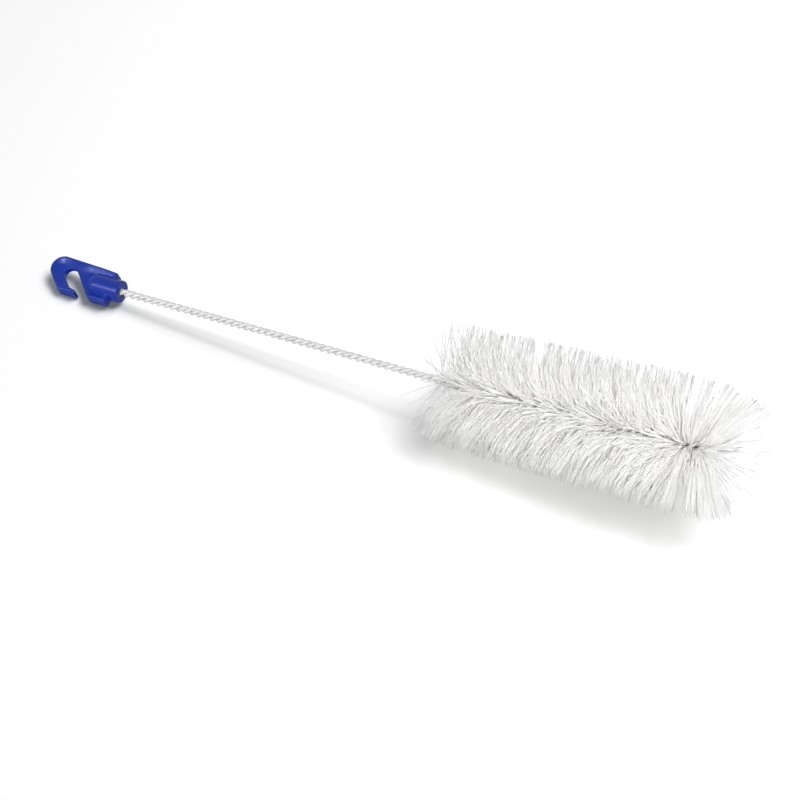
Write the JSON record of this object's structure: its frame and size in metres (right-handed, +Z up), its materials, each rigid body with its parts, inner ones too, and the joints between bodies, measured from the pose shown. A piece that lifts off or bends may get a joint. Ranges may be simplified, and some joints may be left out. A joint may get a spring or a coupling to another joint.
{
  "type": "bottle brush",
  "caption": "Bottle brush: a hook handle on a long twisted wire stem, with a spiral of radial bristles that fans forward at the tip.",
  "frame": {"origin": "on the ground under the middle of the brush as it lies at rest", "axes": "+X along the brush from the handle to the tip, +Y across it towards the handle's spine side, +Z up from the ground that it lies on"},
  "size_m": [0.4207, 0.0704, 0.0775],
  "materials": {
    "blue_plastic": "blue moulded plastic with a soft sheen",
    "coated_wire": "matte white plastic coating on steel wire",
    "bristle": "white translucent filament"
  },
  "bodies": {
    "root": {"hook_handle": "blue_plastic", "twisted_wire": "coated_wire", "bristles": "bristle", "tip_bristles": "bristle"}
  },
  "joints": []
}
